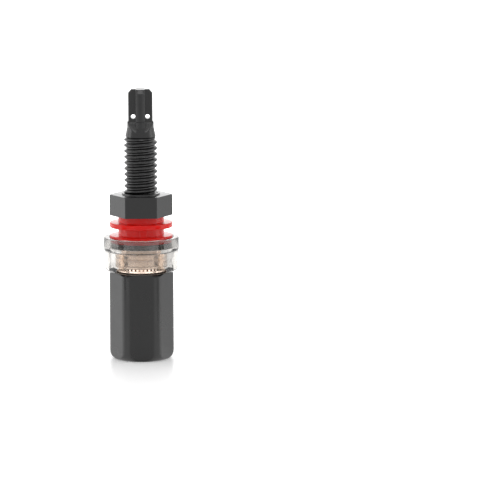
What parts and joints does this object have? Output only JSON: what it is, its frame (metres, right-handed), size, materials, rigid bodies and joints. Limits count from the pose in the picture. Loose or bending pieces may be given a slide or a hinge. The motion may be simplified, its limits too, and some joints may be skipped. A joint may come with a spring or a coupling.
{
  "type": "binding post",
  "caption": "Panel binding post: hexagonal screw knob over a plug socket, clear collar, red insulating rings, threaded rear stud with nut and ribbed solder tail.",
  "frame": {"origin": "middle of the knob's end face, on which the post stands", "axes": "+Z along the post's axis from the knob to the rear tail, -Y the front, with the collar's wire notches facing -Y and +Y"},
  "size_m": [0.018, 0.018, 0.0645],
  "materials": {
    "grip_black": "satin moulded black",
    "core_black": "satin moulded black",
    "slip_plastic": "plain filled fluoroplastic",
    "spring_steel": "bright spring steel",
    "insert_brass": "turned brass",
    "plated_copper": "turned copper with a pale gold plating",
    "stud_black": "satin black coating",
    "smoke_clear": "clear smoke-tinted plastic",
    "red_clear": "translucent red plastic",
    "nut_black": "satin black"
  },
  "bodies": {
    "post": {"contact_post": "plated_copper", "rear_stud": "stud_black", "collar": "smoke_clear", "front_bush": "red_clear"},
    "clamp": {"clamp_ring": "plated_copper"},
    "core": {"knob_core": "core_black", "slip_ring": "slip_plastic", "wave_spring": "spring_steel", "core_clip": "spring_steel", "thread_insert": "insert_brass", "swivel_clip": "spring_steel"},
    "grip": {"knob_shell": "grip_black"},
    "washer": {"rear_washer": "red_clear"},
    "nut": {"rear_nut": "nut_black"}
  },
  "joints": [
    {"name": "clamp_travel", "type": "slide", "parent": "post", "child": "clamp", "axis": [0, 0, -1], "range_m": [0, 0.0045]},
    {"name": "knob_turn", "type": "hinge", "parent": "clamp", "child": "core", "pos_m": [0, 0, 0.0209], "axis": [0, 0, -1], "range_deg": [0, 1620]},
    {"name": "grip_slip", "type": "hinge", "parent": "core", "child": "grip", "pos_m": [0, 0, 0.01], "axis": [0, 0, -1], "continuous": true},
    {"name": "washer_travel", "type": "slide", "parent": "post", "child": "washer", "axis": [0, 0, 1], "range_m": [0, 0.01247]},
    {"name": "nut_turn", "type": "hinge", "parent": "washer", "child": "nut", "pos_m": [0, 0, 0.03687], "axis": [0, 0, 1], "range_deg": [0, 3240]}
  ],
  "couplings": [
    {"joint": "knob_turn", "follows": "clamp_travel", "rad_per_m": 6283.2},
    {"joint": "nut_turn", "follows": "washer_travel", "rad_per_m": 4536.6}
  ]
}
